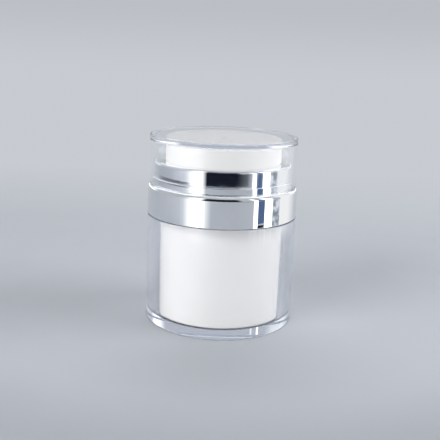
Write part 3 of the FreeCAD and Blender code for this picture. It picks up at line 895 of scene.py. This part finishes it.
# Strengths, 1 being the card's own colour
DARK_STRENGTH = 0.10
BLUE_STRENGTH = 0.27
STREAK_STRENGTH = 0.3
GREY_STRENGTH = 0.9
THIRD_STRENGTH = 0.97
FIRST_GLINT_STRENGTH = 1.0
LEFT_BASE_STRENGTH = 1.2
SECOND_GLINT_STRENGTH = 1.5
SIDE_STRENGTH = 1.6
BACK_STRENGTH = 1.8
LEFT_STRENGTH = 1.9
STRIP_STRENGTH = 2.2
CARDS = {
    "low_left_card": Card(NEAR_RING, STRIP_LOW, LEFT_SPLIT, WHITE_CARD, LEFT_STRENGTH),
    "high_left_card": Card(NEAR_RING, LEFT_SPLIT, STRIP_HIGH, WHITE_CARD, LEFT_STRENGTH),
    "high_back_card": Card(BACK_RING, BASE_HIGH, BACK_TOP, WHITE_CARD, BACK_STRENGTH),
    "left_back_card": Card(BACK_RING, SIDE_LOW, SIDE_HIGH, WHITE_CARD, SIDE_STRENGTH),
    "right_back_card": Card(BACK_RING, SIDE_LOW, SIDE_HIGH, WHITE_CARD, SIDE_STRENGTH),
    "left_base_card": Card(BACK_RING, SIDE_HIGH, BASE_HIGH, WHITE_CARD, LEFT_BASE_STRENGTH),
    "right_base_card": Card(BACK_RING, RIGHT_BASE_LOW, BASE_HIGH, WHITE_CARD, SIDE_STRENGTH),
    "low_camera_card": Card(FAR_RING, 0, CAMERA_SPLIT, DARK_CARD, DARK_STRENGTH),
    "high_camera_card": Card(FAR_RING, CAMERA_SPLIT, CAMERA_TOP, DARK_CARD, DARK_STRENGTH),
    "left_streak": Card(STREAK_RING, STREAK_LOW, STREAK_HIGH, SHADE_CARD, STREAK_STRENGTH),
    "first_glint": Card(BACK_RING, GLINT_LOW, BASE_HIGH, WHITE_CARD, FIRST_GLINT_STRENGTH),
    "second_glint": Card(BACK_RING, GLINT_LOW, BASE_HIGH, WHITE_CARD, SECOND_GLINT_STRENGTH),
    "first_strip": Card(NEAR_RING, STRIP_LOW, STRIP_HIGH, WHITE_CARD, STRIP_STRENGTH),
    "blue_strip": Card(NEAR_RING, BLUE_LOW, STRIP_HIGH, BLUE_CARD, BLUE_STRENGTH),
    "blue_strip_foot": Card(NEAR_RING, BLUE_FOOT_LOW, BLUE_FOOT_HIGH, DARK_CARD, DARK_STRENGTH),
    "second_strip": Card(NEAR_RING, STRIP_LOW, STRIP_HIGH, WHITE_CARD, STRIP_STRENGTH),
    "grey_strip": Card(NEAR_RING, STRIP_LOW, STRIP_HIGH, GREY_CARD, GREY_STRENGTH),
    "third_strip": Card(NEAR_RING, STRIP_LOW, STRIP_TOP, WHITE_CARD, THIRD_STRENGTH),
}
# At azimuths in degrees, the share by which a card covers what is behind it
LEFT_RISE_SHARES = [(-60, 0), (-54, 0.08), (-49, 0.3), (-44.5, 0.55), (-40.5, 0.9), (-38, 1)]
CAMERA_RISE_SHARES = [(-40, 0), (-35, 0.3), (-30, 0.85), (-26, 1)]
COVER_SHARES = {
    "low_left_card": LEFT_RISE_SHARES + [(-28, 1), (-24.5, 0.6), (-21.5, 0.3), (-14, 0)],
    "high_left_card": LEFT_RISE_SHARES + [(-31.5, 1), (-28, 0.5), (-23, 0)],
    "high_back_card": [(128, 0), (150, 1), (210, 1), (232, 0)],
    "left_back_card": [(200, 0), (208, 1), (235, 1), (248, 0)],
    "right_back_card": [(112, 0), (125, 1), (152, 1), (160, 0)],
    "left_base_card": [(207, 0), (214, 0.5), (232, 0.8), (246, 0)],
    "right_base_card": [(126, 0), (132, 1), (139, 1), (148, 0)],
    "low_camera_card": CAMERA_RISE_SHARES + [(22, 1), (31, 0.85), (38, 0.7), (45, 0)],
    "high_camera_card": [(-40, 0), (-33, 0.4), (-26, 0.85), (-20, 1), (22, 1), (30, 0)],
    "left_streak": [(-118, 0), (-100, 0.7), (-70, 0.9), (-56, 0.7), (-47, 0)],
    "first_glint": [(196.4, 1), (197.4, 1)],
    "second_glint": [(200.4, 1), (201.8, 1)],
    "first_strip": [(43.8, 1), (50, 1)],
    "blue_strip": [(50.4, 1), (60.2, 1)],
    "blue_strip_foot": [(50.4, 1), (60.2, 1)],
    "second_strip": [(60.6, 1), (73.8, 1)],
    "grey_strip": [(74.5, 1), (88, 1)],
    "third_strip": [(88, 1), (108, 1), (126, 0.3), (134, 0)],
}
# These cards go on above the heights that the cap's wall would show in front of the plate
for card_name in ("high_left_card", "first_strip", "blue_strip", "second_strip"):
    CARDS["upper_" + card_name] = CARDS[card_name]._replace(low=OVER_CAP, high=STRIP_TOP)
    COVER_SHARES["upper_" + card_name] = COVER_SHARES[card_name]
# These cards fade out from their lower edge to the floor
FADED_CARDS = ("low_left_card", "first_strip", "second_strip", "grey_strip", "third_strip")
# These cards look crumpled, by a noise that goes over from shade to the card's own colour
CRUMPLED_CARDS = ("grey_strip",)
CRUMPLE_WAVES = 110
CRUMPLE_STRETCH = (0.45, 0.45, 2.5)
CRUMPLE_SHARES = (0.4, 0.6)
CARD_STEPS = 6


def between_stops(stops):
    """The stops with evenly spaced steps between them."""
    filled = []
    for (start, first), (end, last) in zip(stops, stops[1:]):
        for step in range(CARD_STEPS):
            share = step / CARD_STEPS
            filled.append((start + (end - start) * share, first + (last - first) * share))
    return filled + [stops[-1]]


def card_sheet(name, card):
    """A card bent round the axis, which keeps at each point how far it covers what is behind it."""
    level_shares = [(card.low, 1), (card.high, 1)]
    if name in FADED_CARDS:
        level_shares.insert(0, (0, 0))
    rows = len(level_shares)
    points = []
    covers = []
    for azimuth, cover in between_stops(COVER_SHARES[name]):
        foot = towards(azimuth) * card.distance
        points += [foot + UP * level for level, share in level_shares]
        covers += [cover * share for level, share in level_shares]
    faces = [
        (first + row, first + row + 1, first + rows + row + 1, first + rows + row)
        for first in range(0, len(points) - rows, rows)
        for row in range(rows - 1)
    ]
    sheet = add_object(name, points, faces, unit=1)
    sheet.data.attributes.new("cover", "FLOAT", "POINT").data.foreach_set("value", covers)
    return sheet


def card_material(name, card):
    """Plain light of the card's colour, clear where the card covers nothing."""
    material, tree = new_material(name)
    tree.nodes.remove(shader_of(tree))
    glow = tree.nodes.new("ShaderNodeEmission")
    glow.inputs["Color"].default_value = (*card.colour, 1)
    glow.inputs["Strength"].default_value = card.strength
    if name in CRUMPLED_CARDS:
        noise = add_noise(tree, CRUMPLE_WAVES, stretch=CRUMPLE_STRETCH)
        crumpled = add_ramp(tree, noise, (SHADE_CARD, card.colour), CRUMPLE_SHARES)
        tree.links.new(crumpled, glow.inputs["Color"])
    cover = tree.nodes.new("ShaderNodeAttribute")
    cover.attribute_name = "cover"
    clear = tree.nodes.new("ShaderNodeBsdfTransparent")
    surface = mix_shaders(tree, cover.outputs["Fac"], clear.outputs["BSDF"], glow.outputs["Emission"])
    tree.links.new(surface, tree.nodes["Material Output"].inputs["Surface"])
    return material


def make_card(name, card):
    sheet = card_sheet(name, card)
    sheet.data.materials.append(card_material(name, card))
    sheet.visible_camera = False
    sheet.visible_diffuse = False
    sheet.visible_shadow = False


for card_name, card in CARDS.items():
    make_card(card_name, card)

# Light paths, enough for light that runs along inside the acrylic
LIGHT_BOUNCES = 32
scene.cycles.max_bounces = LIGHT_BOUNCES
scene.cycles.glossy_bounces = LIGHT_BOUNCES
scene.cycles.transmission_bounces = LIGHT_BOUNCES
scene.cycles.blur_glossy = 0

# Camera, with its lens in pixels of the picture, its place in metres and its tilt in degrees
IMAGE_SIDE = 440
FOCAL_PIXELS = 695
SENSOR = 36.0
CLIP_NEAR = 0.01
CLIP_FAR = 10
CAMERA_DISTANCE = 0.284
CAMERA_HEIGHT = 0.1123
CAMERA_SIDE = -0.00054
CAMERA_PITCH = 14.11
CAMERA_ROLL = 2.10


def make_camera():
    lens = bpy.data.cameras.new("camera")
    lens.sensor_fit = "HORIZONTAL"
    lens.sensor_width = SENSOR
    lens.lens = SENSOR * FOCAL_PIXELS / IMAGE_SIDE
    lens.clip_start = CLIP_NEAR
    lens.clip_end = CLIP_FAR
    camera = bpy.data.objects.new("camera", lens)
    tilt = Matrix.Rotation(QUARTER_TURN - math.radians(CAMERA_PITCH), 4, "X")
    roll = Matrix.Rotation(math.radians(CAMERA_ROLL), 4, "Z")
    spot = Matrix.Translation((CAMERA_SIDE, -CAMERA_DISTANCE, CAMERA_HEIGHT))
    camera.matrix_world = spot @ tilt @ roll
    scene.collection.objects.link(camera)
    scene.camera = camera


make_camera()

# Colours come out as they are written
scene.view_settings.view_transform = "Standard"
